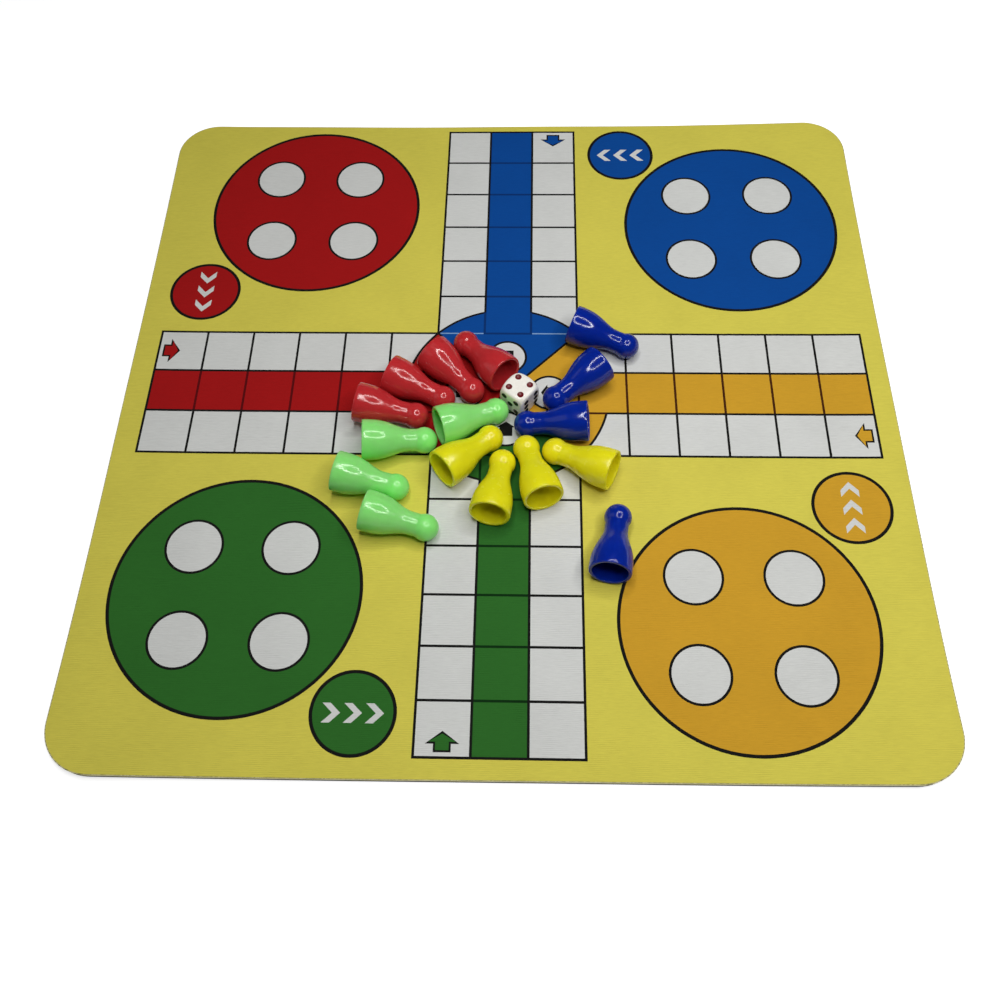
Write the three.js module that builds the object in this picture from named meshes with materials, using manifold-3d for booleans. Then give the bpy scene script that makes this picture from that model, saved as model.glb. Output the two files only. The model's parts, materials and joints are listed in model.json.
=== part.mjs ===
// Ludo set laid out for play: a flat, nearly square play mat of printed cloth on a rubber base,
// sixteen hollow pawns in four colours lying on their sides, and one small die.
// Millimetres, +Z up. The origin is the centre of the mat's underside.
import * as THREE from 'three';
import Module from 'manifold-3d';
import { mergeVertices } from 'three/addons/utils/BufferGeometryUtils.js';

// Play mat
const matWidth = 261.5;
const matDepth = 255.5;
const matCornerRadius = 15;
const clothThickness = 0.5;
const rubberThickness = 1.5;

// Pawn: a hollow bell that narrows to a neck and ends in a ball head
const pawnLength = 24.6;
const bellyDiameter = 13.3;
const bellyHeight = 0.8;
const rimInset = 0.2;
const neckDiameter = 7.5;
const neckLength = 3.1;
const headDiameter = 8.7;
const pawnWall = 0.9;
const crownThickness = 5;

// Die: a cube whose corners are cut by a sphere, with round dimples for pips
const dieEdge = 10;
const dieBallDiameter = 14;
const pipPitch = 4.9;
const pipDiameter = 2.2;
const pipDepth = 0.5;

// Clearance between a lying piece and the cloth
const restGap = 0.3;

// How finely round forms are cut
const pawnSides = 14;
const bodySteps = 6;
const ballSteps = 4;
const hollowSteps = 3;
const cornerSteps = 8;
const dieBallDetail = 6;
const pipBallDetail = 1;

// Colours
const clothColour = 0xd6cb5a;
const rubberColour = 0x1c1c1d;
const dieColour = 0xf3efe6;

// The pieces lie in a loose pile that spreads with its largest member. The pile's unit is a
// pawn's length, or another size times its share of that length where that comes out larger.
const bellyToLengthShare = 1.84;
const headToLengthShare = 2.8;
const dieToLengthShare = 2.4;
const pileUnit = Math.max(
  pawnLength,
  bellyDiameter * bellyToLengthShare,
  headDiameter * headToLengthShare,
  dieEdge * dieToLengthShare,
);

// Each pawn's middle in pile units from the mat's centre, and the way its head points in
// degrees anticlockwise from +X.
const pawnSets = [
  {
    name: 'red_pawn',
    colour: 0xb9202e,
    placeShares: [
      [-1.513, -0.37, -11],
      [-1.138, -0.02, -25],
      [-0.678, 0.205, -45],
      [-0.333, 0.525, 133],
    ],
  },
  {
    name: 'green_pawn',
    colour: 0x63c94f,
    placeShares: [
      [-0.413, -0.475, 22],
      [-1.383, -0.835, 4],
      [-1.708, -1.445, -13],
      [-1.298, -2.015, -14],
    ],
  },
  {
    name: 'yellow_pawn',
    colour: 0xd9d021,
    placeShares: [
      [-0.428, -0.99, 41],
      [-0.078, -1.465, 79],
      [0.387, -1.24, 106],
      [0.972, -1.11, 155],
    ],
  },
  {
    name: 'blue_pawn',
    colour: 0x10249a,
    placeShares: [
      [1.392, 0.84, -22],
      [0.942, 0.05, -141],
      [0.627, -0.56, 179],
      [1.412, -2.255, 80],
    ],
  },
];
const diePlaceShares = [0.202, -0.095];
const dieHeading = -39;

const matThickness = rubberThickness + clothThickness;
const restHeight = matThickness + restGap;

function surface(color, roughness) {
  return new THREE.MeshStandardMaterial({ color, roughness, metalness: 0 });
}

function named(geometry, name, color, roughness) {
  const mesh = new THREE.Mesh(geometry, surface(color, roughness));
  mesh.name = name;
  return mesh;
}

// Mat layers: the same rounded rectangle at two heights. Each arc draws the straight side
// before it, and the shape closes the last one.
function roundedRectangle(width, depth, radius) {
  const x = width / 2 - radius;
  const y = depth / 2 - radius;
  const shape = new THREE.Shape();
  [[x, y], [-x, y], [-x, -y], [x, -y]].forEach(([centreX, centreY], corner) => {
    const start = (corner * Math.PI) / 2;
    shape.absarc(centreX, centreY, radius, start, start + Math.PI / 2);
  });
  return shape;
}

function matLayer(name, thickness, bottom, color, roughness) {
  const outline = roundedRectangle(matWidth, matDepth, matCornerRadius);
  const settings = { depth: thickness, bevelEnabled: false, curveSegments: cornerSteps };
  const layer = named(new THREE.ExtrudeGeometry(outline, settings), name, color, roughness);
  layer.position.z = bottom;
  return layer;
}

// Pawn profile: points of radius and height above the open rim.
const bellyRadius = bellyDiameter / 2;
const neckRadius = neckDiameter / 2;
const headRadius = headDiameter / 2;
const headCentre = pawnLength - headRadius;
const ballStartAngle = THREE.MathUtils.degToRad(115);
const ballStartHeight = headCentre + headRadius * Math.cos(ballStartAngle);
const neckHeight = ballStartHeight - neckLength;
const bodyCurveShare = 1.5;

function bodyRadius(share) {
  const fall = (1 - Math.cos(Math.PI * share ** bodyCurveShare)) / 2;
  return THREE.MathUtils.lerp(bellyRadius, neckRadius, fall);
}

function bodyPoints() {
  const points = [];
  for (let step = 0; step <= bodySteps; step += 1) {
    const share = step / bodySteps;
    const height = THREE.MathUtils.lerp(bellyHeight, neckHeight, share);
    points.push(new THREE.Vector2(bodyRadius(share), height));
  }
  return points;
}

function ballPoints() {
  const points = [];
  for (let step = 0; step < ballSteps; step += 1) {
    const angle = ballStartAngle * (1 - step / ballSteps);
    const height = headCentre + headRadius * Math.cos(angle);
    points.push(new THREE.Vector2(headRadius * Math.sin(angle), height));
  }
  points.push(new THREE.Vector2(0, pawnLength));
  return points;
}

// The hollow follows the body at one wall's thickness, then runs straight up the neck and
// ends in a dome below the crown.
function hollowPoints() {
  const boreRadius = neckRadius - pawnWall;
  const domeBase = pawnLength - crownThickness - boreRadius;
  const points = [];
  for (let step = 0; step < hollowSteps; step += 1) {
    const angle = (Math.PI / 2) * (step / hollowSteps);
    const height = domeBase + boreRadius * Math.cos(angle);
    points.push(new THREE.Vector2(boreRadius * Math.sin(angle), height));
  }
  for (const point of bodyPoints().reverse().filter((_, index) => index % 2 === 0)) {
    points.push(new THREE.Vector2(point.x - pawnWall, point.y));
  }
  points.push(new THREE.Vector2(bellyRadius - rimInset - pawnWall, 0));
  return points;
}

function pawnGeometry() {
  const rim = new THREE.Vector2(bellyRadius - rimInset, 0);
  const outline = [rim, ...bodyPoints(), ...ballPoints(), ...hollowPoints(), rim];
  const geometry = new THREE.LatheGeometry(outline, pawnSides);
  geometry.rotateZ(-Math.PI / 2);
  return geometry;
}

// A lying pawn touches the mat with its belly and its head, so it tips head down by the angle
// of the line that touches both. That line is the steepest one from a body point to the ball.
function lyingTilt() {
  const tilts = bodyPoints().map((point) => {
    const run = headCentre - point.y;
    const reach = Math.hypot(point.x, run);
    return Math.acos(headRadius / reach) - Math.atan2(run, point.x);
  });
  return Math.max(...tilts);
}

const tilt = lyingTilt();
const rimCentreHeight = restHeight + headRadius + headCentre * Math.sin(tilt);

function lyingPawn(geometry, name, color, [xShare, yShare, heading]) {
  const pawn = named(geometry, name, color, 0.22);
  const turn = THREE.MathUtils.degToRad(heading);
  const halfRun = (pawnLength * Math.cos(tilt)) / 2;
  pawn.position.set(
    xShare * pileUnit - halfRun * Math.cos(turn),
    yShare * pileUnit - halfRun * Math.sin(turn),
    rimCentreHeight,
  );
  pawn.rotation.set(0, tilt, turn, 'ZYX');
  return pawn;
}

// Die
const wasm = await Module();
wasm.setup();

function toSolid(geometry) {
  const bare = geometry.clone();
  bare.deleteAttribute('normal');
  bare.deleteAttribute('uv');
  const merged = mergeVertices(bare, 1e-5);
  return new wasm.Manifold(new wasm.Mesh({
    numProp: 3,
    vertProperties: new Float32Array(merged.attributes.position.array),
    triVerts: new Uint32Array(merged.index.array),
  }));
}

function toGeometry(solid) {
  const { vertProperties, triVerts } = solid.getMesh();
  const geometry = new THREE.BufferGeometry();
  geometry.setAttribute('position', new THREE.BufferAttribute(vertProperties, 3));
  geometry.setIndex(new THREE.BufferAttribute(triVerts, 1));
  geometry.computeVertexNormals();
  return geometry;
}

// Pip places on a face, in pip pitches from its centre: one in the middle, pairs on the
// diagonals, and a pair halfway along two sides.
const middlePip = [[0, 0]];
const fallingPips = [[-0.5, 0.5], [0.5, -0.5]];
const risingPips = [[-0.5, -0.5], [0.5, 0.5]];
const sidePips = [[0, -0.5], [0, 0.5]];
const pipShares = [
  middlePip,
  fallingPips,
  [...fallingPips, ...middlePip],
  [...fallingPips, ...risingPips],
  [...fallingPips, ...risingPips, ...middlePip],
  [...fallingPips, ...risingPips, ...sidePips],
];

// Which way each face looks, as turns of the upward face about X and then Y. Opposite faces
// add up to seven.
const dieFaces = [
  { pips: 4, aboutX: 0, aboutY: 0 },
  { pips: 3, aboutX: Math.PI, aboutY: 0 },
  { pips: 5, aboutX: Math.PI / 2, aboutY: 0 },
  { pips: 2, aboutX: -Math.PI / 2, aboutY: 0 },
  { pips: 6, aboutX: 0, aboutY: Math.PI / 2 },
  { pips: 1, aboutX: 0, aboutY: -Math.PI / 2 },
];

function pipCutters() {
  const pipRadius = pipDiameter / 2;
  const cutterRadius = (pipRadius ** 2 + pipDepth ** 2) / (2 * pipDepth);
  const cutterHeight = dieEdge / 2 + cutterRadius - pipDepth;
  const cutters = [];
  for (const { pips, aboutX, aboutY } of dieFaces) {
    const turn = new THREE.Matrix4().makeRotationFromEuler(new THREE.Euler(aboutX, aboutY, 0));
    for (const [xShare, yShare] of pipShares[pips - 1]) {
      const cutter = new THREE.IcosahedronGeometry(cutterRadius, pipBallDetail);
      cutter.translate(xShare * pipPitch, yShare * pipPitch, cutterHeight);
      cutter.applyMatrix4(turn);
      cutters.push(toSolid(cutter));
    }
  }
  return cutters;
}

function dieMesh() {
  const cube = toSolid(new THREE.BoxGeometry(dieEdge, dieEdge, dieEdge));
  const ball = toSolid(new THREE.IcosahedronGeometry(dieBallDiameter / 2, dieBallDetail));
  const blank = cube.intersect(ball);
  const solid = pipCutters().reduce((body, cutter) => body.subtract(cutter), blank);
  const die = named(toGeometry(solid), 'die', dieColour, 0.3);
  const [xShare, yShare] = diePlaceShares;
  die.position.set(xShare * pileUnit, yShare * pileUnit, restHeight + dieEdge / 2);
  die.rotation.z = THREE.MathUtils.degToRad(dieHeading);
  return die;
}

// Assembly
const group = new THREE.Group();
group.add(matLayer('mat_rubber_base', rubberThickness, 0, rubberColour, 0.9));
group.add(matLayer('mat_printed_cloth', clothThickness, rubberThickness, clothColour, 0.85));
const pawnBody = pawnGeometry();
for (const { name, colour, placeShares } of pawnSets) {
  placeShares.forEach((place, index) => {
    group.add(lyingPawn(pawnBody, `${name}_${index + 1}`, colour, place));
  });
}
group.add(dieMesh());

export default group;
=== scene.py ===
# Ludo set laid out for play, dressed: a printed cloth mat on a rubber base, sixteen glossy
# hollow pawns and a die. Metres, +Z up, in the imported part's own frame.
import json
import math

import bmesh
import bpy
import numpy as np
from mathutils import Matrix, Vector
from mathutils.geometry import delaunay_2d_cdt

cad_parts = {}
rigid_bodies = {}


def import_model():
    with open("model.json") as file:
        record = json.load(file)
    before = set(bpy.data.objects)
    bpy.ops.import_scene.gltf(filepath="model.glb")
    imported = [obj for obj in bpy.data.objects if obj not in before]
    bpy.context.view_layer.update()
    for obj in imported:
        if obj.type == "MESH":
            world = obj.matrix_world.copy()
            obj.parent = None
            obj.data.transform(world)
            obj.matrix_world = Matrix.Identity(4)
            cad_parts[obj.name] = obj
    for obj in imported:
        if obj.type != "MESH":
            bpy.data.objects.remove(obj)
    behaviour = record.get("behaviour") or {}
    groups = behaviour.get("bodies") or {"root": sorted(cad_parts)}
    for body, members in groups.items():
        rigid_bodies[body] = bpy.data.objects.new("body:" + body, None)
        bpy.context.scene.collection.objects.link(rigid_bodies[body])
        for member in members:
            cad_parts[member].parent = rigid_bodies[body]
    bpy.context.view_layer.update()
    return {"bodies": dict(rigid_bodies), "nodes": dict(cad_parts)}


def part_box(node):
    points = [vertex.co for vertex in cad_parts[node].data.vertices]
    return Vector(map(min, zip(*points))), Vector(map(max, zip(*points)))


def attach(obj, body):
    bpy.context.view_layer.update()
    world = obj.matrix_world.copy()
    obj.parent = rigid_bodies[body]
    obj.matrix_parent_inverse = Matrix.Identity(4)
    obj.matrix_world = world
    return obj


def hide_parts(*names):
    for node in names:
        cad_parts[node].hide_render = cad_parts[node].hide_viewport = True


MM = 0.001
WHITE = (1.0, 1.0, 1.0, 1.0)

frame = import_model()


def linked(name, data):
    """A new object in the scene that holds that mesh, camera or light."""
    thing = bpy.data.objects.new(name, data)
    bpy.context.scene.collection.objects.link(thing)
    return thing


def aimed(place, target):
    """The matrix of a thing at that place whose own -Z axis points at the target."""
    turn = (target - place).to_track_quat("-Z", "Y").to_matrix().to_4x4()
    return Matrix.Translation(place) @ turn


def smooth_mesh(name, points, faces):
    mesh = bpy.data.meshes.new(name)
    mesh.from_pydata(points, [], faces)
    mesh.validate()
    mesh.shade_smooth()
    return mesh


# Camera: the photograph's place, aim, roll and angle of view
CAMERA_PLACE = Vector((6.13, -173.69, 270.43)) * MM
CAMERA_AIM = Vector((-1.08, -39.58, 2.0)) * MM
CAMERA_ROLL = math.radians(-2.467)
CAMERA_LENS = 33.547
CAMERA_SENSOR = 36.0
CAMERA_CLIP_START = 10 * MM


def make_camera():
    data = bpy.data.cameras.new("camera")
    data.lens = CAMERA_LENS
    data.sensor_width = CAMERA_SENSOR
    data.clip_start = CAMERA_CLIP_START
    camera = linked("camera", data)
    roll = Matrix.Rotation(CAMERA_ROLL, 4, "Z")
    camera.matrix_world = aimed(CAMERA_PLACE, CAMERA_AIM) @ roll
    bpy.context.scene.camera = camera


# Sizes read from the frame. A point is on a side of the box when it is this near to it
ON_SIDE = 0.01 * MM


def outline_of_mat():
    """The mat's half width, half depth and corner radius, from the cloth node's corners."""
    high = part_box("mat_printed_cloth")[1]
    points = [v.co for v in frame["nodes"]["mat_printed_cloth"].data.vertices]
    on_right_side = [p.y for p in points if p.x > high.x - ON_SIDE]
    return [size / MM for size in (high.x, high.y, high.y - max(on_right_side))]


HALF_WIDTH, HALF_DEPTH, CORNER_RADIUS = outline_of_mat()
MAT_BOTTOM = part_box("mat_rubber_base")[0].z
CLOTH_BOTTOM, MAT_TOP = (corner.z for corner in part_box("mat_printed_cloth"))

# The print, in millimetres on the mat: a grid of 15 by 15 cells, a little off the mat's middle
# and a little askew. Places are those of the left arm's quarter
PRINT_CENTRE = (0.55, 1.61)
PRINT_TURN = math.radians(-0.29)
PRINT_HALF = 123.0
CELL = PRINT_HALF / 7.5
ARM_CELLS = 6
ARM_END = PRINT_HALF - ARM_CELLS * CELL
CELL_LINE = 0.8
RING_LINE = 1.05
CENTRE_RADIUS = ARM_END * math.sqrt(2)
HOME_RADIUS = 6.5
HOME_PLACE = (-14.5, 0.0)
HOUSE_WIDTH = 6.4
HOUSE_HEIGHT = 5.6
HOUSE_EAVES_SHARE = 0.1
HOUSE_WALL_SHARE = 0.68
YARD_RADIUS = 38.9
YARD_PLACE = (-74.1, 82.4)
SPOT_RADIUS = 9.0
SPOT_OFFSET = 15.4
START_RADIUS = 12.3
START_PLACE = (-110.7, 42.7)
CHEVRON_WIDTH = 5.4
CHEVRON_HEIGHT = 5.8
CHEVRON_THICKNESS = 2.4
CHEVRON_PITCH = 6.4
ARROW_PLACE = (-118.5, 16.4)
ARROW_HEAD_WIDTH = 8.0
ARROW_SHAFT_WIDTH = 3.9
ARROW_HEAD_LENGTH = 2.3
ARROW_SHAFT_LENGTH = 2.4
ARROW_LINE = 0.6
ARROW_BARB_GROWTH = 1.6
ARROW_TIP_GROWTH = 1.3
PALE_LINE = 0.45
PRINT_MARGIN = 0.35
INK_DEPTH = 0.05
QUARTER_INKS = ("red", "blue", "orange", "green")

# How finely the print is cut, in millimetres and steps
FREE_POINT_PITCH = 6.5
FREE_ROW_SHIFT = 0.25
CIRCLE_PITCH = 0.9
FEWEST_CIRCLE_STEPS = 24
CORNER_STEPS = 16
SECTOR_STEPS = 40
MERGE_DISTANCE = 1e-4


def quarter_circle(steps):
    """The angles from 0 to a right angle in that many steps."""
    return [(math.pi / 2) * step / steps for step in range(steps + 1)]


def disc(centre, radius):
    """A circle's points, anticlockwise."""
    steps = max(FEWEST_CIRCLE_STEPS, int(math.tau * radius / CIRCLE_PITCH))
    angles = [math.tau * step / steps for step in range(steps)]
    x, y = centre
    return [(x + radius * math.cos(a), y + radius * math.sin(a)) for a in angles]


def rectangle(low, high):
    return [(low[0], low[1]), (high[0], low[1]), (high[0], high[1]), (low[0], high[1])]


def quarter_turned(points, quarter):
    """The points turned clockwise by that many quarters about the print's centre."""
    for _ in range(quarter):
        points = [(y, -x) for x, y in points]
    return points


def rotated(points, angle):
    c, s = math.cos(angle), math.sin(angle)
    return [(x * c - y * s, x * s + y * c) for x, y in points]


def moved(points, place):
    return [(x + place[0], y + place[1]) for x, y in points]


def stepped(points):
    """The outline with its long sides cut into steps, so that it can follow the mat's lie."""
    out = []
    for start, end in zip(points, points[1:] + points[:1]):
        steps = math.ceil(math.dist(start, end) / FREE_POINT_PITCH)
        for step in range(steps):
            share = step / steps
            out.append(tuple(a + (b - a) * share for a, b in zip(start, end)))
    return out


def rounded_rectangle(half_width, half_depth, radius):
    points = []
    for corner in range(4):
        start = corner * math.pi / 2
        middle = start + math.pi / 4
        x = math.copysign(half_width - radius, math.cos(middle))
        y = math.copysign(half_depth - radius, math.sin(middle))
        for turn in quarter_circle(CORNER_STEPS):
            a = start + turn
            points.append((x + radius * math.cos(a), y + radius * math.sin(a)))
    return points


def centre_sector(radius, line):
    """The left quarter of the centre disc, kept half a line away from both diagonals."""
    apex = (-line / 2 * math.sqrt(2), 0.0)
    trim = math.asin(line / 2 / radius)
    first = math.pi * 0.75 + trim
    last = math.pi * 1.25 - trim
    points = [apex]
    for step in range(SECTOR_STEPS + 1):
        a = first + (last - first) * step / SECTOR_STEPS
        points.append((radius * math.cos(a), radius * math.sin(a)))
    return points


def arrow(grow):
    """A block arrow that points along +X from its middle, grown outwards all round."""
    half_head = ARROW_HEAD_WIDTH / 2 + grow * ARROW_BARB_GROWTH
    half_shaft = ARROW_SHAFT_WIDTH / 2 + grow
    tip = ARROW_HEAD_LENGTH + grow * ARROW_TIP_GROWTH
    tail = -ARROW_SHAFT_LENGTH - grow
    return [
        (tail, -half_shaft),
        (-grow, -half_shaft),
        (-grow, -half_head),
        (tip, 0.0),
        (-grow, half_head),
        (-grow, half_shaft),
        (tail, half_shaft),
    ]


def chevron():
    """A chevron that points along +X."""
    x, y = CHEVRON_WIDTH / 2, CHEVRON_HEIGHT / 2
    return [
        (-x, -y),
        (-x + CHEVRON_THICKNESS, -y),
        (x, 0.0),
        (-x + CHEVRON_THICKNESS, y),
        (-x, y),
        (x - CHEVRON_THICKNESS, 0.0),
    ]


def house():
    """A plain house with a pitched roof, standing along +Y."""
    half = HOUSE_WIDTH / 2
    top = HOUSE_HEIGHT / 2
    wall = half * HOUSE_WALL_SHARE
    eaves = HOUSE_HEIGHT * HOUSE_EAVES_SHARE
    return [
        (-wall, -top),
        (wall, -top),
        (wall, eaves),
        (half, eaves),
        (0.0, top),
        (-half, eaves),
        (-wall, eaves),
    ]


class Layout:
    """The print as inked outlines in the order they are painted."""

    def __init__(self):
        self.shapes = []

    def ground(self, ink, inset):
        """The mat's own outline, drawn in by that much."""
        sizes = (size - inset for size in (HALF_WIDTH, HALF_DEPTH, CORNER_RADIUS))
        self.shapes.append((ink, stepped(rounded_rectangle(*sizes))))

    def paint(self, ink, points, quarter=0):
        """An outline on the print, turned clockwise by that many quarters."""
        turned = rotated(quarter_turned(points, quarter), PRINT_TURN)
        self.shapes.append((ink, stepped(moved(turned, PRINT_CENTRE))))

    def ringed_disc(self, ink, centre, radius, quarter, line=RING_LINE):
        self.paint("black", disc(centre, radius + line / 2), quarter)
        self.paint(ink, disc(centre, radius - line / 2), quarter)


def arm_cell(column, row):
    """One cell of the left arm, counted from its outer end, kept half a line inside."""
    x = -PRINT_HALF + column * CELL
    y = (row - 0.5) * CELL
    inset = CELL_LINE / 2
    return rectangle((x + inset, y + inset), (x + CELL - inset, y + CELL - inset))


def paint_arm(layout, quarter):
    """The arm's black ground and the white cells of its two outer rows."""
    half = CELL_LINE / 2
    low = (-PRINT_HALF - half, -1.5 * CELL - half)
    high = (-ARM_END + half, 1.5 * CELL + half)
    layout.paint("black", rectangle(low, high), quarter)
    for column in range(ARM_CELLS):
        for row in (-1, 1):
            layout.paint("white", arm_cell(column, row), quarter)


def paint_band(layout, ink, quarter):
    """The arm's coloured middle row: black side lines, dark tints where it meets its own colour."""
    half = CELL_LINE / 2
    disc_edge = -math.sqrt(CENTRE_RADIUS**2 - (CELL / 2) ** 2)
    low = (-PRINT_HALF - half, -0.5 * CELL - half)
    layout.paint("black", rectangle(low, (disc_edge, 0.5 * CELL + half)), quarter)
    low = (disc_edge, -0.5 * CELL - half)
    high = (-ARM_END + half, 0.5 * CELL + half)
    layout.paint(ink + "_dark", rectangle(low, high), quarter)
    low = (-PRINT_HALF + half, -0.5 * CELL + half)
    high = (-ARM_END - half, 0.5 * CELL - half)
    layout.paint(ink + "_dark", rectangle(low, high), quarter)
    for column in range(ARM_CELLS):
        layout.paint(ink, arm_cell(column, 0), quarter)


def paint_centre(layout):
    """The centre disc in four colours, the bands that run into it and the four home discs."""
    layout.paint("black", disc((0.0, 0.0), CENTRE_RADIUS + CELL_LINE / 2))
    for quarter, ink in enumerate(QUARTER_INKS):
        layout.paint(ink, centre_sector(CENTRE_RADIUS - CELL_LINE / 2, CELL_LINE), quarter)
    for quarter, ink in enumerate(QUARTER_INKS):
        paint_band(layout, ink, quarter)
    # A pale hairline crosses the blue quarter on both sides of its band
    y = ARM_END
    length = ARM_END - CELL / 2 - 1.5 * CELL_LINE
    for x in (-ARM_END + CELL_LINE, CELL / 2 + CELL_LINE / 2):
        layout.paint("pale", rectangle((x, y - PALE_LINE / 2), (x + length, y + PALE_LINE / 2)))
    # Each house stands upright for the player on that side of the mat
    upright = moved(quarter_turned(house(), 1), HOME_PLACE)
    for quarter in range(4):
        layout.ringed_disc("white", HOME_PLACE, HOME_RADIUS, quarter, CELL_LINE)
        layout.paint("black", upright, quarter)


def paint_yard(layout, ink, quarter):
    """The large corner disc and its four spots."""
    layout.ringed_disc(ink, YARD_PLACE, YARD_RADIUS, quarter)
    for x_side in (-1, 1):
        for y_side in (-1, 1):
            place = (YARD_PLACE[0] + x_side * SPOT_OFFSET, YARD_PLACE[1] + y_side * SPOT_OFFSET)
            layout.ringed_disc("white", place, SPOT_RADIUS, quarter, CELL_LINE)


def paint_start(layout, ink, quarter):
    """The start disc with its three chevrons in a row."""
    layout.ringed_disc(ink, START_PLACE, START_RADIUS, quarter)
    for step in (-1, 0, 1):
        mark = quarter_turned(moved(chevron(), (step * CHEVRON_PITCH, 0.0)), 1)
        layout.paint("white", moved(mark, START_PLACE), quarter)


def paint_arrow(layout, ink, quarter):
    """The small outlined arrow in the arm's outermost corner cell."""
    layout.paint("black", moved(arrow(ARROW_LINE), ARROW_PLACE), quarter)
    layout.paint(ink, moved(arrow(0.0), ARROW_PLACE), quarter)


def print_layout():
    """(ink, outline) of the whole print, from the bare cloth up to the last ink."""
    layout = Layout()
    layout.ground("bare", 0.0)
    layout.ground("yellow", PRINT_MARGIN)
    for quarter, ink in enumerate(QUARTER_INKS):
        paint_arm(layout, quarter)
        paint_yard(layout, ink, quarter)
        paint_start(layout, ink, quarter)
        paint_arrow(layout, ink, quarter)
    paint_centre(layout)
    return layout.shapes


# The mat's lie: flat in the middle, with its corners and edges lifted a little off the table.
# Each corner, by its sides of X and Y, has a height and how sharply the mat rises to it. Each
# wave has its rate and start along the edge and how sharply it rises to the edge
CORNER_LIFTS = {(1, 1): (1.8, 5), (-1, 1): (1.1, 5), (-1, -1): (2.9, 6), (1, -1): (2.8, 9)}
FAR_EDGE_LIFT = 0.5
FAR_EDGE_SHARPNESS = 7
SIDE_EDGE_LIFT = 0.45
SIDE_EDGE_SHARPNESS = 8
WAVE_HEIGHT = 0.2
FAR_AND_NEAR_WAVE = (9.0, 0.8, 10)
SIDE_WAVE = (7.0, 2.0, 12)
CUT_EDGE_DROP = 0.12
LAYER_SHARP_ANGLE = math.radians(30)


def edge_wave(along, across, wave):
    """The height of an edge's wave at shares along it and out towards it."""
    rate, start, sharpness = wave
    return WAVE_HEIGHT * (1 + math.sin(rate * along + start)) / 2 * abs(across) ** sharpness


def lift(x, y):
    """How far the mat is lifted at a place, both in millimetres."""
    u, v = x / HALF_WIDTH, y / HALF_DEPTH
    rise = 0.0
    for (side_x, side_y), (height, sharpness) in CORNER_LIFTS.items():
        nearness = max(0.0, (side_x * u + side_y * v) / 2)
        rise += height * nearness**sharpness
    rise += FAR_EDGE_LIFT * max(0.0, v) ** FAR_EDGE_SHARPNESS
    rise += SIDE_EDGE_LIFT * abs(u) ** SIDE_EDGE_SHARPNESS
    rise += edge_wave(u, v, FAR_AND_NEAR_WAVE)
    rise += edge_wave(v, u, SIDE_WAVE)
    return rise


def depth_inside(x, y):
    """How far a place is inside the mat's outline."""
    reach_x = abs(x) - (HALF_WIDTH - CORNER_RADIUS)
    reach_y = abs(y) - (HALF_DEPTH - CORNER_RADIUS)
    if reach_x > 0 and reach_y > 0:
        return CORNER_RADIUS - math.hypot(reach_x, reach_y)
    return CORNER_RADIUS - max(reach_x, reach_y)


def free_points():
    """Points all over the mat, every other row shifted, for the triangles to meet in."""
    points = []
    for row in range(1, int(2 * HALF_DEPTH / FREE_POINT_PITCH)):
        shift = FREE_ROW_SHIFT if row % 2 else -FREE_ROW_SHIFT
        for column in range(1, int(2 * HALF_WIDTH / FREE_POINT_PITCH)):
            x = -HALF_WIDTH + (column + shift) * FREE_POINT_PITCH
            y = -HALF_DEPTH + row * FREE_POINT_PITCH
            if depth_inside(x, y) > FREE_POINT_PITCH / 2:
                points.append((x, y))
    return points


def split_by_ink(shapes):
    """Triangles over all outlines at once: (points, triangles, the topmost ink of each)."""
    points, faces = [], []
    for _, outline in shapes:
        first = len(points)
        points += outline
        faces.append(list(range(first, first + len(outline))))
    points += free_points()
    found = delaunay_2d_cdt([Vector(p) for p in points], [], faces, 1, MERGE_DISTANCE)
    corners, _, triangles, _, _, sources = found
    inks = [shapes[max(source)][0] for source in sources]
    return [tuple(c) for c in corners], triangles, inks


def closed_layer(name, corners, triangles, top, bottom):
    """A closed sheet over those triangles. top and bottom give z in metres at a place."""
    used = sorted({index for triangle in triangles for index in triangle})
    number = {index: place for place, index in enumerate(used)}
    count = len(used)
    points = [(corners[i][0] * MM, corners[i][1] * MM, top(*corners[i])) for i in used]
    points += [(corners[i][0] * MM, corners[i][1] * MM, bottom(*corners[i])) for i in used]
    faces = []
    sides = set()
    for triangle in triangles:
        a, b, c = (number[index] for index in triangle)
        faces.append((a, b, c))
        faces.append((c + count, b + count, a + count))
        sides |= {(a, b), (b, c), (c, a)}
    for a, b in sides:
        if (b, a) not in sides:
            faces.append((b, a, a + count, b + count))
    faces.sort()
    mesh = smooth_mesh(name, points, faces)
    mesh.set_sharp_from_angle(angle=LAYER_SHARP_ANGLE)
    return linked(name, mesh)


# Materials
def linear(red, green, blue):
    """A display colour, 0 to 255, as the linear colour a shader takes."""
    channels = []
    for value in (red, green, blue):
        c = value / 255
        channels.append(c / 12.92 if c <= 0.04045 else ((c + 0.055) / 1.055) ** 2.4)
    return (*channels, 1.0)


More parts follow.
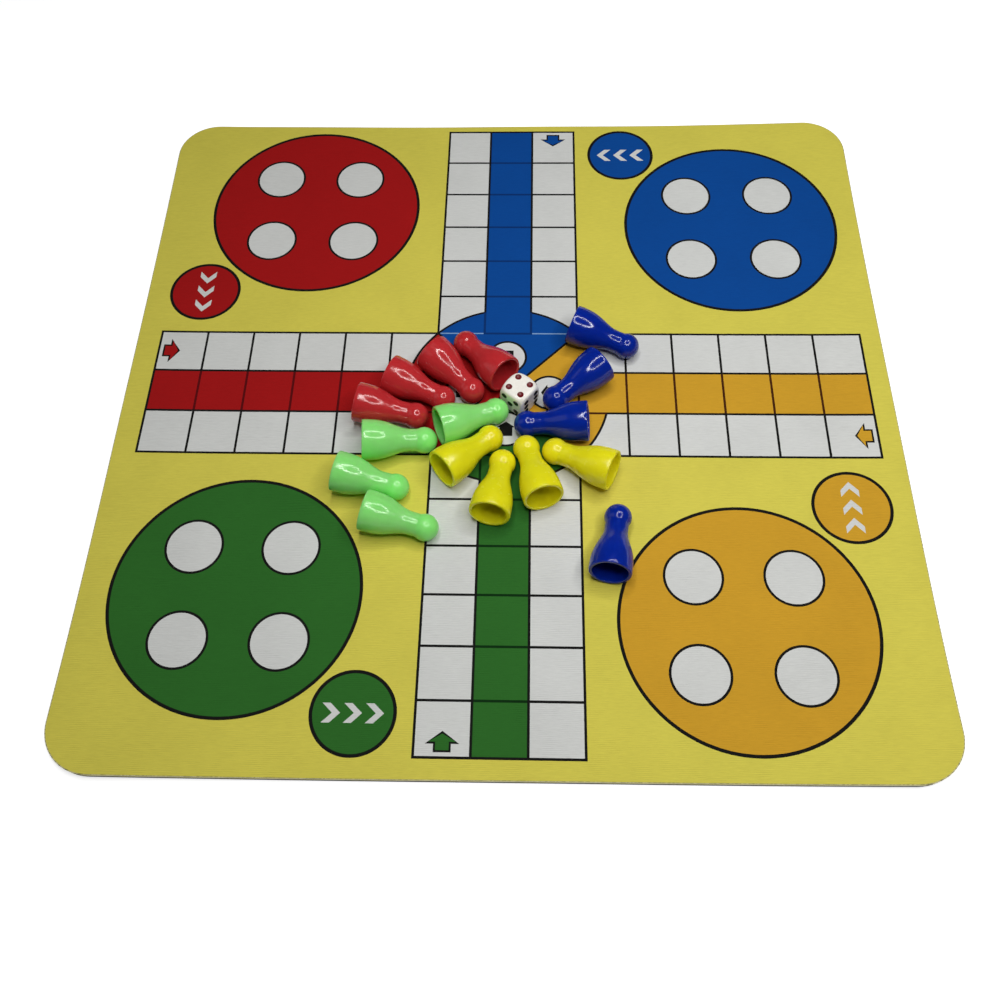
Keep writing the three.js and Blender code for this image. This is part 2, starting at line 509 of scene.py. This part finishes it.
class Nodes:
    """Short calls for building one material's node tree."""

    def __init__(self, name):
        self.material = bpy.data.materials.new(name)
        self.material.use_nodes = True
        self.tree = self.material.node_tree
        self.shader = self.tree.nodes["Principled BSDF"]
        self.place = self.add("ShaderNodeTexCoord").outputs["Object"]

    def add(self, kind, **settings):
        node = self.tree.nodes.new(kind)
        for key, value in settings.items():
            setattr(node, key, value)
        return node

    def put(self, node, key, value):
        """A plain value or another node's socket into an input."""
        if isinstance(value, bpy.types.NodeSocket):
            self.tree.links.new(value, node.inputs[key])
        else:
            node.inputs[key].default_value = value

    def dressed(self, inputs):
        """The material, with those values and sockets in its shader's inputs."""
        for key, value in inputs.items():
            self.put(self.shader, key, value)
        return self.material

    def maths(self, operation, first, second=0.0, third=0.0):
        node = self.add("ShaderNodeMath", operation=operation)
        for key, value in enumerate((first, second, third)):
            self.put(node, key, value)
        return node.outputs[0]

    def axes(self):
        """The place's X, Y and Z as sockets."""
        node = self.add("ShaderNodeSeparateXYZ")
        self.put(node, 0, self.place)
        return node.outputs

    def noise(self, size, detail, stretch=(1.0, 1.0, 1.0), roughness=0.5):
        """Noise from 0 to 1 with features of about that size in metres."""
        mapping = self.add("ShaderNodeMapping")
        self.put(mapping, "Vector", self.place)
        self.put(mapping, "Scale", tuple(1.0 / (size * share) for share in stretch))
        node = self.add("ShaderNodeTexNoise")
        self.put(node, "Vector", mapping.outputs["Vector"])
        self.put(node, "Scale", 1.0)
        self.put(node, "Detail", detail)
        self.put(node, "Roughness", roughness)
        return node.outputs["Fac"]

    def spread(self, value, low, high, start=0.3, end=0.7):
        """value's range from start to end, spread over low to high."""
        node = self.add("ShaderNodeMapRange")
        self.put(node, "Value", value)
        self.put(node, "From Min", start)
        self.put(node, "From Max", end)
        self.put(node, "To Min", low)
        self.put(node, "To Max", high)
        return node.outputs["Result"]

    def near_one(self, value, contrast):
        """value's middle range as a factor that strays from 1 by the contrast."""
        return self.spread(value, 1 - contrast, 1 + contrast)

    def mixed(self, share, first, second):
        node = self.add("ShaderNodeMix", data_type="RGBA", blend_type="MIX")
        self.put(node, 0, share)
        self.put(node, 6, first)
        self.put(node, 7, second)
        return node.outputs[2]

    def shaded(self, colour, factor):
        """The colour made lighter or darker by a factor near 1."""
        node = self.add("ShaderNodeVectorMath", operation="SCALE")
        self.put(node, 0, colour[:3])
        self.put(node, "Scale", factor)
        return node.outputs[0]

    def bump(self, height, distance):
        node = self.add("ShaderNodeBump")
        self.put(node, "Distance", distance)
        self.put(node, "Strength", 1.0)
        self.put(node, "Height", height)
        return node.outputs["Normal"]


# Every noise has its size and detail, and some a stretch along each axis and a roughness
RIB_PITCH = 0.55 * MM
RIB_HEIGHT = 0.04 * MM
RIB_BUMP_SHARE = 0.5
RIB_WANDER = 2.2
RIB_WANDER_NOISE = (7 * MM, 2.0, (2.0, 1.0, 1.0))
RIB_PATCH_NOISE = (4 * MM, 3.0, (1.2, 0.8, 1.0))
RIB_PATCH_RANGE = (0.44, 0.6)
# Painted shade of the ribs: how much lighter their crests and darker their grooves are coloured
RIB_PAINTED_SHADE = 0.06
STREAK_NOISE = (1.0 * MM, 3.0, (3.0, 0.4, 1.0), 0.6)
STREAK_CONTRAST = 0.045
MOTTLE_NOISE = (22 * MM, 3.0)
MOTTLE_CONTRAST = 0.03
THREAD_NOISE = (0.7 * MM, 2.0, (1.6, 0.6, 1.0))


def cloth_material(name, colour):
    """Printed ribbed cloth: fine ribs along X that come and go, with painted shade in the grooves
    between them, streaks and faint mottling.
    """
    n = Nodes(name)
    wander = n.spread(n.noise(*RIB_WANDER_NOISE), -RIB_WANDER, RIB_WANDER)
    phase = n.maths("MULTIPLY_ADD", n.axes()["Y"], math.tau / RIB_PITCH, wander)
    presence = n.spread(n.noise(*RIB_PATCH_NOISE), 0.0, 1.0, *RIB_PATCH_RANGE)
    rib = n.maths("MULTIPLY", n.maths("SINE", phase), presence)
    streak = n.near_one(n.noise(*STREAK_NOISE), STREAK_CONTRAST)
    mottle = n.near_one(n.noise(*MOTTLE_NOISE), MOTTLE_CONTRAST)
    # The ribs' colour follows their bump, lighter on the crests and darker in the grooves: painted
    # shade
    shade = n.maths("MULTIPLY", n.maths("MULTIPLY_ADD", rib, RIB_PAINTED_SHADE, streak), mottle)
    height = n.maths("MULTIPLY_ADD", rib, RIB_BUMP_SHARE, n.noise(*THREAD_NOISE))
    inputs = {
        "Base Color": n.shaded(colour, shade),
        "Roughness": 0.88,
        "Specular IOR Level": 0.14,
        "Normal": n.bump(height, RIB_HEIGHT),
    }
    return n.dressed(inputs)


YARN_COLOUR = linear(214, 208, 160)
YARN_END_COLOUR = linear(126, 120, 78)
YARN_END_RANGE = (-0.2, 0.9)
YARN_NOISE = (0.3 * MM, 3.0)
YARN_HEIGHT = 0.08 * MM
FRAY_NOISE = (0.6 * MM, 3.0)
FRAY_RANGE = (0.35, 0.6)


def cut_edge_material(name):
    """The unprinted cloth: white yarn whose cut ends show as dark specks on the mat's edge."""
    n = Nodes(name)
    phase = n.maths("MULTIPLY", n.axes()["Y"], math.tau / (2 * RIB_PITCH))
    yarn_end = n.spread(n.maths("SINE", phase), 0.0, 1.0, *YARN_END_RANGE)
    fray = n.spread(n.noise(*FRAY_NOISE), 0.0, 1.0, *FRAY_RANGE)
    share = n.maths("MULTIPLY", yarn_end, fray)
    inputs = {
        "Base Color": n.mixed(share, YARN_COLOUR, YARN_END_COLOUR),
        "Roughness": 0.95,
        "Specular IOR Level": 0.15,
        "Normal": n.bump(n.noise(*YARN_NOISE), YARN_HEIGHT),
    }
    return n.dressed(inputs)


RUBBER_COLOUR = linear(40, 41, 43)
FOAM_NOISE = (0.35 * MM, 3.0)
FOAM_PORE_PAINTED_SHADE = (0.75, 1.3)
FOAM_ROUGHNESSES = (0.7, 0.92)
RUBBER_MOTTLE_NOISE = (14 * MM, 3.0)
RUBBER_MOTTLE_SHADES = (0.85, 1.2)
GRIP_WAVE = 2.2 * MM
GRIP_BUMP_SHARE = 0.7
GRIP_HEIGHT = 0.12 * MM


def rubber_material(name):
    """Dark foam rubber: fine cells whose hollows hold painted shade, and a moulded diamond grip on
    its underside.
    """
    n = Nodes(name)
    axes = n.axes()
    slants = [n.maths(operation, axes["X"], axes["Y"]) for operation in ("ADD", "SUBTRACT")]
    turn = math.tau / GRIP_WAVE
    grip = n.maths("MULTIPLY", *(n.maths("SINE", n.maths("MULTIPLY", s, turn)) for s in slants))
    cells = n.noise(*FOAM_NOISE)
    mottle = n.spread(n.noise(*RUBBER_MOTTLE_NOISE), *RUBBER_MOTTLE_SHADES)
    # The foam's colour follows its cells' height, darker where they sink: painted shade in the
    # pores, with the slow mottle as its own uneven tone
    shade = n.maths("MULTIPLY", n.spread(cells, *FOAM_PORE_PAINTED_SHADE), mottle)
    height = n.maths("MULTIPLY_ADD", grip, GRIP_BUMP_SHARE, cells)
    inputs = {
        "Base Color": n.shaded(RUBBER_COLOUR, shade),
        "Roughness": n.spread(cells, *FOAM_ROUGHNESSES),
        "Specular IOR Level": 0.3,
        "Normal": n.bump(height, GRIP_HEIGHT),
    }
    return n.dressed(inputs)


CLOUD_NOISE = (6 * MM, 3.0)
CLOUD_CONTRAST = 0.05
MARKS_NOISE = (2.2 * MM, 2.0)
MARKS_RANGE = (0.85, 1.3)
WAVER_NOISE = (2.4 * MM, 1.5)
WAVER_HEIGHT = 0.07 * MM
SCUFF_NOISE = (0.25 * MM, 2.0)
SCUFF_BUMP_SHARE = 0.006
GLOW_DEPTH = 2.2 * MM


def plastic_material(name, colour, roughness, glow=0.0):
    """Thin moulded plastic: a clear gloss that wavers, faint handling marks, light in its walls."""
    n = Nodes(name)
    cloud = n.near_one(n.noise(*CLOUD_NOISE), CLOUD_CONTRAST)
    roughnesses = [roughness * factor for factor in MARKS_RANGE]
    waver = n.noise(*WAVER_NOISE)
    height = n.maths("MULTIPLY_ADD", n.noise(*SCUFF_NOISE), SCUFF_BUMP_SHARE, waver)
    inputs = {
        "Base Color": n.shaded(colour, cloud),
        "Roughness": n.spread(n.noise(*MARKS_NOISE), *roughnesses),
        "IOR": 1.5,
        "Subsurface Weight": glow,
        "Subsurface Radius": (1.0, 1.0, 1.0),
        "Subsurface Scale": GLOW_DEPTH,
        "Normal": n.bump(height, WAVER_HEIGHT),
    }
    return n.dressed(inputs)


INKS = {
    "yellow": linear(219, 209, 86),
    "white": linear(217, 219, 217),
    "black": linear(20, 20, 19),
    "red": linear(167, 19, 21),
    "blue": linear(4, 73, 154),
    "green": linear(46, 108, 40),
    "orange": linear(210, 160, 44),
    "red_dark": linear(92, 6, 12),
    "blue_dark": linear(4, 50, 112),
    "green_dark": linear(6, 46, 10),
    "orange_dark": linear(70, 34, 8),
    "pale": linear(130, 165, 205),
}
# Each plastic's colour and roughness, and the share of light that goes into its walls
PAWN_PLASTICS = {
    "red": (linear(197, 48, 53), 0.14, 0.35),
    "green": (linear(151, 252, 134), 0.16, 0.85),
    "yellow": (linear(246, 234, 27), 0.22, 0.9),
    "blue": (linear(7, 40, 155), 0.13, 0.45),
}
DIE_PLASTIC = (linear(255, 252, 243), 0.25, 0.1)
# Each pip paint's faces, colour and roughness
PIP_PAINTS = {
    "red": ((1, 4), linear(110, 12, 22), 0.3),
    "black": ((2, 3, 5, 6), linear(20, 20, 22), 0.3),
}


# Mat: z in metres of its faces at a place in millimetres
def mat_top(x, y):
    return MAT_TOP + lift(x, y) * MM


def ink_bottom(x, y):
    return mat_top(x, y) - INK_DEPTH * MM


def cloth_top(x, y):
    """Flush under the print, and dropping off across the bare border to the cut edge."""
    border_share = max(0.0, 1 - depth_inside(x, y) / PRINT_MARGIN)
    return mat_top(x, y) - (INK_DEPTH + CUT_EDGE_DROP * border_share) * MM


def cloth_bottom(x, y):
    return CLOTH_BOTTOM + lift(x, y) * MM


def rubber_bottom(x, y):
    return MAT_BOTTOM + lift(x, y) * MM


def make_mat():
    corners, triangles, inks = split_by_ink(print_layout())
    cloth = closed_layer("mat_cloth", corners, triangles, cloth_top, cloth_bottom)
    cloth.data.materials.append(cut_edge_material("cloth_yarn"))
    films = []
    for ink, colour in INKS.items():
        name = "print_" + ink
        own = [triangle for triangle, worn in zip(triangles, inks) if worn == ink]
        film = closed_layer(name, corners, own, mat_top, ink_bottom)
        film.data.materials.append(cloth_material(name, colour))
        films.append(film)
    rubber = closed_layer("mat_rubber", corners, triangles, cloth_bottom, rubber_bottom)
    rubber.data.materials.append(rubber_material("foam_rubber"))
    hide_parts("mat_printed_cloth")
    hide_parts("mat_rubber_base")
    for piece in (cloth, rubber, *films):
        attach(piece, "mat")


# Pawns
BELLY_RADIUS = 6.65 * MM
BELLY_HEIGHT = 0.8 * MM
RIM_INSET = 0.2 * MM
NECK_RADIUS = 3.75 * MM
NECK_LENGTH = 3.1 * MM
NECK_BLEND = 0.18 * MM
HEAD_RADIUS = 4.35 * MM
PAWN_WALL = 0.9 * MM
CROWN = 5.0 * MM
BALL_START = math.radians(115)
BODY_CURVE = 1.5
LIP_RADIUS = 0.3 * MM
PAWN_SIDES = 72
DOME_STEPS = 8
HOLLOW_STEPS = 26
LIP_STEPS = 5
OUTSIDE_STEPS = 46
HEAD_STEPS = 14

# A lying piece's gap over the cloth in the CAD model, and here
REST_GAP = 0.3 * MM
REST_CLEARANCE = 0.02 * MM
DROP = Vector((0.0, 0.0, REST_CLEARANCE - REST_GAP))


def mix(first, second, share):
    return first + (second - first) * share


def body_radius(share):
    fall = (1 - math.cos(math.pi * share**BODY_CURVE)) / 2
    return mix(BELLY_RADIUS, NECK_RADIUS, fall)


def soft_max(first, second):
    """The larger of two radii, rounded where they cross."""
    nearness = max(0.0, NECK_BLEND - abs(first - second)) / NECK_BLEND
    return max(first, second) + nearness * nearness * NECK_BLEND / 4


def outer_radius(height, length):
    """The pawn's outside: belly, tapering body, straight neck and ball head."""
    head_centre = length - HEAD_RADIUS
    ball_start = head_centre + HEAD_RADIUS * math.cos(BALL_START)
    neck_start = ball_start - NECK_LENGTH
    share = min(1.0, max(0.0, (height - BELLY_HEIGHT) / (neck_start - BELLY_HEIGHT)))
    body = body_radius(share)
    if height < BELLY_HEIGHT:
        body -= RIM_INSET * (1 - height / BELLY_HEIGHT) ** 2
    reach = HEAD_RADIUS**2 - (height - head_centre) ** 2
    ball = math.sqrt(reach) if reach > 0 else 0.0
    if height > head_centre:
        return ball
    return soft_max(body, ball)


def hollow_profile(length):
    """(radius, height) from the hollow's top down to where the lip starts."""
    bore = NECK_RADIUS - PAWN_WALL
    dome_base = length - CROWN - bore
    widest = BELLY_RADIUS - RIM_INSET - PAWN_WALL
    points = []
    for a in quarter_circle(DOME_STEPS):
        points.append((bore * math.sin(a), dome_base + bore * math.cos(a)))
    for step in range(1, HOLLOW_STEPS + 1):
        height = mix(dome_base, LIP_RADIUS, step / HOLLOW_STEPS)
        inside = min(outer_radius(height, length) - PAWN_WALL, widest)
        points.append((max(bore, inside), height))
    return points


def pawn_profile(length):
    """(radius, height) from the hollow's top, down the inside, round the lip and up the outside."""
    points = hollow_profile(length)
    inner_lip = points[-1][0]
    outer_lip = outer_radius(LIP_RADIUS, length)
    for a in quarter_circle(LIP_STEPS)[1:]:
        radius = inner_lip + LIP_RADIUS * (1 - math.cos(a))
        points.append((radius, LIP_RADIUS * (1 - math.sin(a))))
    for a in quarter_circle(LIP_STEPS):
        radius = outer_lip - LIP_RADIUS * (1 - math.sin(a))
        points.append((radius, LIP_RADIUS * (1 - math.cos(a))))
    head_centre = length - HEAD_RADIUS
    for step in range(1, OUTSIDE_STEPS + 1):
        height = mix(LIP_RADIUS, head_centre, step / OUTSIDE_STEPS)
        points.append((outer_radius(height, length), height))
    for a in quarter_circle(HEAD_STEPS)[1:]:
        points.append((HEAD_RADIUS * math.cos(a), head_centre + HEAD_RADIUS * math.sin(a)))
    return points


def turned_mesh(name, profile, sides):
    """The profile, which starts and ends on the axis, turned about Z into a closed mesh."""
    rings = profile[1:-1]
    points = [(0.0, 0.0, profile[0][1])]
    for radius, height in rings:
        for side in range(sides):
            a = math.tau * side / sides
            points.append((radius * math.cos(a), radius * math.sin(a), height))
    points.append((0.0, 0.0, profile[-1][1]))
    last = 1 + (len(rings) - 1) * sides
    faces = []
    for side in range(sides):
        after = (side + 1) % sides
        faces.append((0, 1 + after, 1 + side))
        faces.append((len(points) - 1, last + side, last + after))
        for ring in range(len(rings) - 1):
            a, b = 1 + ring * sides, 1 + (ring + 1) * sides
            faces.append((a + side, a + after, b + after, b + side))
    return smooth_mesh(name, points, faces)


# The share of a pawn's half length that counts as its end, when its wide end is looked for
END_SHARE = 0.8
CORNER_DECIMALS = 6


def pawn_pose(node):
    """(rim centre, unit direction to the head, length) of a pawn, from its CAD solid."""
    corners = np.array([v.co for v in frame["nodes"][node].data.vertices], float)
    corners = np.unique(np.round(corners, CORNER_DECIMALS), axis=0)
    middle = corners.mean(0)
    axis = np.linalg.svd(corners - middle, full_matrices=False)[2][0]
    along = (corners - middle) @ axis
    across = np.linalg.norm(corners - middle - np.outer(along, axis), axis=1)
    ahead = across[along > along.max() * END_SHARE].max()
    behind = across[along < along.min() * END_SHARE].max()
    if ahead > behind:
        axis, along = -axis, -along
    rim = middle + axis * along.min()
    return Vector(rim), Vector(axis).normalized(), float(np.ptp(along))


def make_pawns():
    materials = {}
    for colour, finish in PAWN_PLASTICS.items():
        materials[colour] = plastic_material(colour + "_plastic", *finish)
    for body in frame["bodies"]:
        if "_pawn_" not in body:
            continue
        rim, axis, length = pawn_pose(body)
        mesh = turned_mesh(body + "_moulded", pawn_profile(length), PAWN_SIDES)
        turn = axis.to_track_quat("Z", "Y").to_matrix().to_4x4()
        mesh.transform(Matrix.Translation(rim + DROP) @ turn)
        piece = linked(body + "_moulded", mesh)
        colour = body.split("_")[0]
        mesh.materials.append(materials[colour])
        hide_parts(body)
        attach(piece, body)


# Die
DIE_EDGE = 10.0 * MM
DIE_BALL_RADIUS = 7.0 * MM
DIE_SOFTNESS = 16
DIE_CUTS = 28
DIE_HEADING = math.radians(-39)
DIE_SHARP_ANGLE = math.radians(35)
PIP_PITCH = 4.9 * MM
PIP_RADIUS = 1.1 * MM
PIP_DEPTH = 0.5 * MM
PIP_SPHERE = (PIP_RADIUS**2 + PIP_DEPTH**2) / (2 * PIP_DEPTH)
PIP_SEGMENTS = 48
PAINT_DEPTH = 0.03 * MM
PAINT_COVER = 0.985
PAINT_RINGS = 7
PAINT_SIDES = 36

# Pip places on a face, in pip pitches from its centre
FALLING_PIPS = ((-0.5, 0.5), (0.5, -0.5))
RISING_PIPS = ((-0.5, -0.5), (0.5, 0.5))
SIDE_PIPS = ((0, -0.5), (0, 0.5))
MIDDLE_PIP = ((0, 0),)
PIPS = {
    1: MIDDLE_PIP,
    2: FALLING_PIPS,
    3: FALLING_PIPS + MIDDLE_PIP,
    4: FALLING_PIPS + RISING_PIPS,
    5: FALLING_PIPS + RISING_PIPS + MIDDLE_PIP,
    6: FALLING_PIPS + RISING_PIPS + SIDE_PIPS,
}
# Turns of the upward face about X and Y that bring it to each face, by its pips
FACE_TURNS = {
    4: Matrix.Identity(4),
    3: Matrix.Rotation(math.pi, 4, "X"),
    5: Matrix.Rotation(math.pi / 2, 4, "X"),
    2: Matrix.Rotation(-math.pi / 2, 4, "X"),
    6: Matrix.Rotation(math.pi / 2, 4, "Y"),
    1: Matrix.Rotation(-math.pi / 2, 4, "Y"),
}


def die_blank():
    """A cube met by a ball, both edges softened, as one formula of the direction."""
    mesh = bpy.data.meshes.new("die_moulded")
    shape = bmesh.new()
    bmesh.ops.create_cube(shape, size=2.0)
    bmesh.ops.subdivide_edges(shape, edges=shape.edges[:], cuts=DIE_CUTS, use_grid_fill=True)
    half = DIE_EDGE / 2
    for vertex in shape.verts:
        direction = vertex.co.normalized()
        total = sum(abs(c / half) ** DIE_SOFTNESS for c in direction)
        total += (1 / DIE_BALL_RADIUS) ** DIE_SOFTNESS
        vertex.co = direction * total ** (-1 / DIE_SOFTNESS)
    shape.to_mesh(mesh)
    shape.free()
    return mesh


def pip_places():
    """(pips on the face, matrix whose Z axis goes out through the pip's centre) of each pip."""
    for pips, turn in FACE_TURNS.items():
        for x, y in PIPS[pips]:
            out = Vector((x * PIP_PITCH, y * PIP_PITCH, DIE_EDGE / 2))
            yield pips, turn @ Matrix.Translation(out)


def pip_cutters():
    """A ball over every pip, in one mesh."""
    mesh = bpy.data.meshes.new("pip_cutters")
    shape = bmesh.new()
    for _, place in pip_places():
        bmesh.ops.create_uvsphere(
            shape,
            u_segments=PIP_SEGMENTS,
            v_segments=PIP_SEGMENTS,
            radius=PIP_SPHERE,
            matrix=place @ Matrix.Translation((0, 0, PIP_SPHERE - PIP_DEPTH)),
        )
    shape.to_mesh(mesh)
    shape.free()
    return mesh


def dimpled(die):
    """The die's mesh with the pip cutters taken out."""
    cutters = linked("pip_cutters", pip_cutters())
    cut = die.modifiers.new("dimples", "BOOLEAN")
    cut.object = cutters
    cut.operation = "DIFFERENCE"
    cut.solver = "EXACT"
    seen = die.evaluated_get(bpy.context.evaluated_depsgraph_get())
    mesh = bpy.data.meshes.new_from_object(seen)
    die.modifiers.clear()
    bpy.data.objects.remove(cutters)
    mesh.shade_smooth()
    mesh.set_sharp_from_angle(angle=DIE_SHARP_ANGLE)
    return mesh


def paint_shells(name, faces):
    """Thin closed shells of paint lying in the dimples of those faces."""
    reach = math.asin(PIP_RADIUS / PIP_SPHERE) * PAINT_COVER
    outwards = [reach * ring / PAINT_RINGS for ring in range(PAINT_RINGS + 1)]
    profile = []
    for radius, angles in ((PIP_SPHERE - PAINT_DEPTH, outwards), (PIP_SPHERE, outwards[::-1])):
        for a in angles:
            profile.append((radius * math.sin(a), PIP_SPHERE - PIP_DEPTH - radius * math.cos(a)))
    mesh = turned_mesh(name, profile, PAINT_SIDES)
    shape = bmesh.new()
    for pips, place in pip_places():
        if pips in faces:
            shell = mesh.copy()
            shell.transform(place)
            shape.from_mesh(shell)
            bpy.data.meshes.remove(shell)
    shape.to_mesh(mesh)
    shape.free()
    mesh.shade_smooth()
    return mesh


def make_die():
    die = linked("die_moulded", die_blank())
    die.data = dimpled(die)
    die.data.materials.clear()
    die.data.materials.append(plastic_material("die_plastic", *DIE_PLASTIC))
    pieces = [die]
    for paint, (faces, *finish) in PIP_PAINTS.items():
        name = f"die_{paint}_paint"
        shells = linked(name, paint_shells(name, faces))
        shells.data.materials.append(plastic_material(paint + "_paint", *finish))
        pieces.append(shells)
    low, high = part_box("die")
    turn = Matrix.Rotation(DIE_HEADING, 4, "Z")
    place = Matrix.Translation((low + high) / 2 + DROP) @ turn
    for piece in pieces:
        piece.data.transform(place)
        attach(piece, "die")
    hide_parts("die")


# Light: a ring lamp high over the mat's right half and a soft window on the left, in a dim room
# whose walls darken to the ceiling between two heights of the direction looked in
RING_CENTRE = Vector((88.0, -20.0, 372.0)) * MM
RING_RADIUS = 135 * MM
RING_WIDTH = 26 * MM
RING_LAMPS = 24
RING_POWER = 1.48
RING_TINT = (1.0, 0.99, 0.975)
WINDOW_PLACE = Vector((-330.0, -10.0, 230.0)) * MM
WINDOW_AIM = Vector((-110.0, -5.0, 0.0)) * MM
WINDOW_SIZE = (220 * MM, 340 * MM)
WINDOW_POWER = 0.1
WINDOW_TINT = (0.97, 0.99, 1.0)
WALL_LIGHT = 0.0509
WALL_END = 0.1
CEILING_LIGHT = 0.0076
CEILING_START = 0.75
FLOOR_HALF = 3.0
FLOOR_GAP = 0.02 * MM
FLOOR_COLOUR = (0.8, 0.8, 0.8, 1.0)
FLOOR_GLOW = 0.75


def add_lamp(name, size, power, tint, place):
    """A rectangular lamp that shines along its own -Z axis, out of the camera's sight."""
    data = bpy.data.lights.new(name, "AREA")
    data.shape = "RECTANGLE"
    data.size, data.size_y = size
    data.energy = power
    data.color = tint
    lamp = linked(name, data)
    lamp.matrix_world = place
    lamp.visible_camera = False


def make_ring_lamp():
    """The ring, as straight lamps end to end that shine down."""
    length = 2 * RING_RADIUS * math.tan(math.pi / RING_LAMPS)
    for index in range(RING_LAMPS):
        angle = math.tau * index / RING_LAMPS
        offset = Vector((math.cos(angle), math.sin(angle), 0.0)) * RING_RADIUS
        place = Matrix.Translation(RING_CENTRE + offset) @ Matrix.Rotation(angle, 4, "Z")
        add_lamp("ring_lamp", (RING_WIDTH, length), RING_POWER / RING_LAMPS, RING_TINT, place)


def make_window():
    """A dim soft light from the left."""
    add_lamp("window", WINDOW_SIZE, WINDOW_POWER, WINDOW_TINT, aimed(WINDOW_PLACE, WINDOW_AIM))


def make_world():
    """Dim grey walls that darken towards the ceiling, the same for every ray."""
    world = bpy.data.worlds.new("room")
    world.use_nodes = True
    tree = world.node_tree
    background = tree.nodes["Background"]
    background.inputs["Color"].default_value = WHITE
    direction = tree.nodes.new("ShaderNodeTexCoord")
    axes = tree.nodes.new("ShaderNodeSeparateXYZ")
    tree.links.new(direction.outputs["Generated"], axes.inputs[0])
    level = tree.nodes.new("ShaderNodeMapRange")
    level.interpolation_type = "SMOOTHSTEP"
    tree.links.new(axes.outputs["Z"], level.inputs["Value"])
    level.inputs["From Min"].default_value = WALL_END
    level.inputs["From Max"].default_value = CEILING_START
    level.inputs["To Min"].default_value = WALL_LIGHT
    level.inputs["To Max"].default_value = CEILING_LIGHT
    tree.links.new(level.outputs["Result"], background.inputs["Strength"])
    bpy.context.scene.world = world


def floor_material(name):
    """Matte white that glows for the camera and mirrored rays, and so shows as white."""
    n = Nodes(name)
    path = n.add("ShaderNodeLightPath")
    seen = path.outputs["Is Camera Ray"]
    for ray in ("Is Glossy Ray", "Is Transmission Ray"):
        seen = n.maths("MAXIMUM", seen, path.outputs[ray])
    inputs = {
        "Base Color": FLOOR_COLOUR,
        "Roughness": 0.9,
        "Specular IOR Level": 0.0,
        "Emission Color": WHITE,
        "Emission Strength": n.maths("MULTIPLY", seen, FLOOR_GLOW),
    }
    return n.dressed(inputs)


def make_floor():
    """A white floor that shows white to the camera and keeps the object's shadow."""
    bottom = MAT_BOTTOM - FLOOR_GAP
    mesh = bpy.data.meshes.new("floor")
    corners = [(x * FLOOR_HALF, y * FLOOR_HALF, bottom) for x, y in rectangle((-1, -1), (1, 1))]
    mesh.from_pydata(corners, [], [(0, 1, 2, 3)])
    mesh.materials.append(floor_material("white_floor"))
    linked("floor", mesh)


make_camera()
make_mat()
make_pawns()
make_die()
make_ring_lamp()
make_window()
make_world()
make_floor()
bpy.context.scene.view_settings.view_transform = "Standard"
